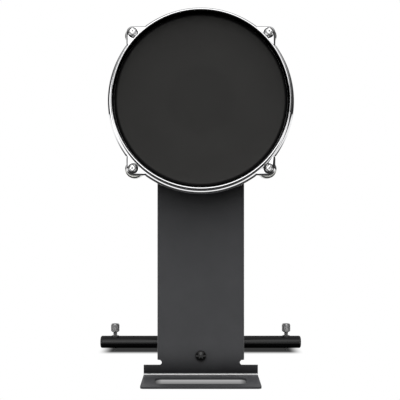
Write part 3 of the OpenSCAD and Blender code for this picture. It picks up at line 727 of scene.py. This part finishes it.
def slot_shade(tree, across, y):
    """1 away from the base plate; under it a grey that darkens towards the slot's near edge and its ends."""
    edge = 0.008
    plate = product(
        tree,
        maths(tree, "LESS_THAN", across, plate_high[0] - edge),
        maths(tree, "GREATER_THAN", y, plate_low[1] + edge),
        maths(tree, "LESS_THAN", y, tower_face_y),
    )
    near, far, end = tower_face_y - 0.046, tower_face_y - 0.020, 0.0575
    grey = product(
        tree,
        plate,
        ramp_node(tree, y, (near, far), (0.14, 0.42)),
        ramp_node(tree, across, (end, end - 0.009), (0.12, 1.0)),
    )
    return maths(tree, "ADD", grey, maths(tree, "SUBTRACT", 1.0, plate))


def make_floor():
    """A white floor with painted shade. Reflections see it dark, and bright at grazing angles."""
    bpy.ops.mesh.primitive_plane_add(size=40, location=(0, 0, 0))
    floor = bpy.context.object
    floor.name = "floor"
    mat = bpy.data.materials.new("floor")
    mat.use_nodes = True
    tree = mat.node_tree
    tree.nodes.remove(tree.nodes["Principled BSDF"])
    split = tree.nodes.new("ShaderNodeSeparateXYZ")
    tree.links.new(tree.nodes.new("ShaderNodeTexCoord").outputs["Object"], split.inputs["Vector"])
    across = maths(tree, "ABSOLUTE", split.outputs["X"], 0.0)
    y = split.outputs["Y"]
    seen = product(tree, bar_shade(tree, across, y), slot_shade(tree, across, y))

    path = tree.nodes.new("ShaderNodeLightPath")
    slope = tree.nodes.new("ShaderNodeSeparateXYZ")
    tree.links.new(tree.nodes.new("ShaderNodeNewGeometry").outputs["Incoming"], slope.inputs["Vector"])
    steep, flat = math.sin(math.radians(26)), math.sin(math.radians(12))
    steep_level, flat_gain, bounce = 0.04, 0.95, 0.12
    grazing = product(tree, fade(tree, slope.outputs["Z"], steep, flat), flat_gain)
    mirrored = product(tree, path.outputs["Is Glossy Ray"], maths(tree, "ADD", grazing, steep_level))
    bounced = product(tree, path.outputs["Is Diffuse Ray"], bounce)
    lighting = maths(tree, "ADD", bounced, mirrored)
    level = product(tree, seen, maths(tree, "ADD", lighting, path.outputs["Is Camera Ray"]))

    glow = tree.nodes.new("ShaderNodeEmission")
    tree.links.new(level, glow.inputs["Strength"])
    tree.links.new(glow.outputs["Emission"], tree.nodes["Material Output"].inputs["Surface"])
    floor.data.materials.append(mat)


def make_world():
    """White where the camera looks at it; for light and reflections, the dark room with its soft lights."""
    world = bpy.data.worlds.new("studio")
    bpy.context.scene.world = world
    world.use_nodes = True
    tree = world.node_tree
    white = tree.nodes["Background"]
    white.inputs["Color"].default_value = (1, 1, 1, 1)
    room = tree.nodes.new("ShaderNodeBackground")
    room.inputs["Color"].default_value = (1, 1, 1, 1)
    way = tree.nodes.new("ShaderNodeTexCoord").outputs["Generated"]

    mirrored = tree.nodes.new("ShaderNodeLightPath").outputs["Is Glossy Ray"]
    level = 0.0
    for direction, start, end, shine, light in ROOM:
        dot = tree.nodes.new("ShaderNodeVectorMath")
        dot.operation = "DOT_PRODUCT"
        dot.inputs[1].default_value = Vector(direction).normalized()
        tree.links.new(way, dot.inputs[0])
        edges = (math.cos(math.radians(end)), math.cos(math.radians(start)))
        shape = ramp_node(tree, dot.outputs["Value"], edges, (0.0, 1.0), smooth_step=True)
        strength = ramp_node(tree, mirrored, (0.0, 1.0), (light, shine))
        level = maths(tree, "ADD", level, maths(tree, "MULTIPLY", shape, strength))
    tree.links.new(level, room.inputs["Strength"])
    shader = for_camera(tree, white.outputs["Background"], room.outputs["Background"])
    tree.links.new(shader, tree.nodes["World Output"].inputs["Surface"])


def make_camera():
    cam = bpy.data.cameras.new("camera")
    cam.sensor_width = 36
    cam.lens = 69.1
    obj = bpy.data.objects.new("camera", cam)
    bpy.context.scene.collection.objects.link(obj)
    obj.location = (-0.001, tower_face_y - 0.975, 0.2244)
    obj.rotation_euler = (math.pi / 2, 0, 0)
    bpy.context.scene.camera = obj


make_camera()
make_floor()
make_world()
bpy.context.scene.view_settings.view_transform = "Standard"

for node, obj in frame["nodes"].items():
    obj.data.materials.clear()
    obj.data.materials.append(M[NODE_SLOT[node]])

make_hoop()
make_head()
make_foam()
for number in (1, 2, 3, 4):
    make_rod(number)
    soften(f"lug_{number}", M["lug_chrome"], 0.35)
    soften(f"rod_washer_{number}", M["black_washer"], 0.2)
for spur in ("left", "right"):
    make_spur(spur)
    soften(f"end_cap_{spur}", M["cap_plastic"], 0.3)
make_welds()
for part, edge in (
    ("tower", 0.4), ("leg_plate", 0.4), ("leg_tube", 0.2), ("crossbar", 0.2), ("head_ring", 0.4),
    ("back_plate", 0.4), ("leg_screw", 0.15),
    ("mount_bolts", 0.25), ("mount_washers", 0.2), ("mount_spacers", 0.5), ("jack_nut", 0.2),
    ("jack_washer", 0.15), ("plate_screws", 0.12), ("spur_inserts", 0.15),
):
    soften(part, M[NODE_SLOT[part]], edge)
